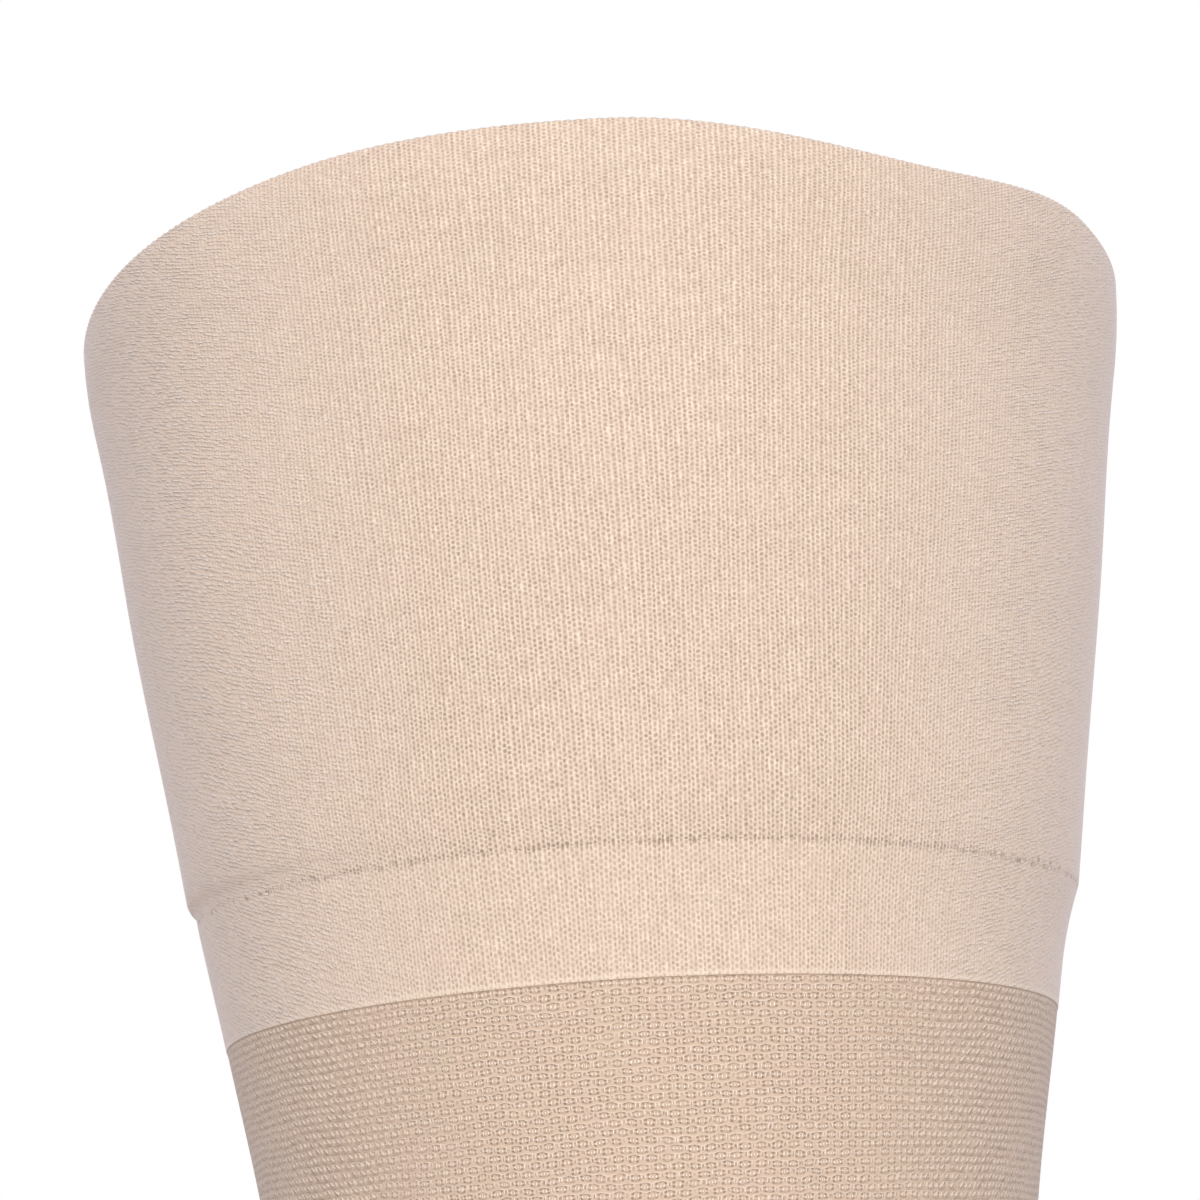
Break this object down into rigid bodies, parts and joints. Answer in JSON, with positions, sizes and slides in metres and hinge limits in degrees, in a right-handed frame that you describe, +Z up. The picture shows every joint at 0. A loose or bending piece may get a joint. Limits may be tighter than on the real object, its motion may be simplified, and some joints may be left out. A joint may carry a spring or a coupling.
{
  "type": "compression stocking",
  "caption": "Thigh-high compression stocking in its worn form, with a wide double band at the thigh, a knitted heel and a closed toe.",
  "frame": {"origin": "middle of the thigh band, on the thigh's axis, where the wearer's thigh holds the stocking", "axes": "+Z up the leg towards the rim, -Y the way the shin and toes point, +X the inner side of the wearer's right leg"},
  "size_m": [0.1796, 0.2736, 0.7243],
  "materials": {
    "fine_knit": "fine plain knit, pale beige, soft matt with a faint sheen",
    "leg_knit": "coarse two-way stretch knit with laid-in elastic yarn, tan beige, matt",
    "heel_knit": "dense plain knit, beige, matt"
  },
  "bodies": {
    "root": {"top_band": "fine_knit", "plain_strip": "fine_knit", "leg": "leg_knit", "heel": "heel_knit", "foot": "leg_knit", "toe": "heel_knit"}
  },
  "joints": []
}
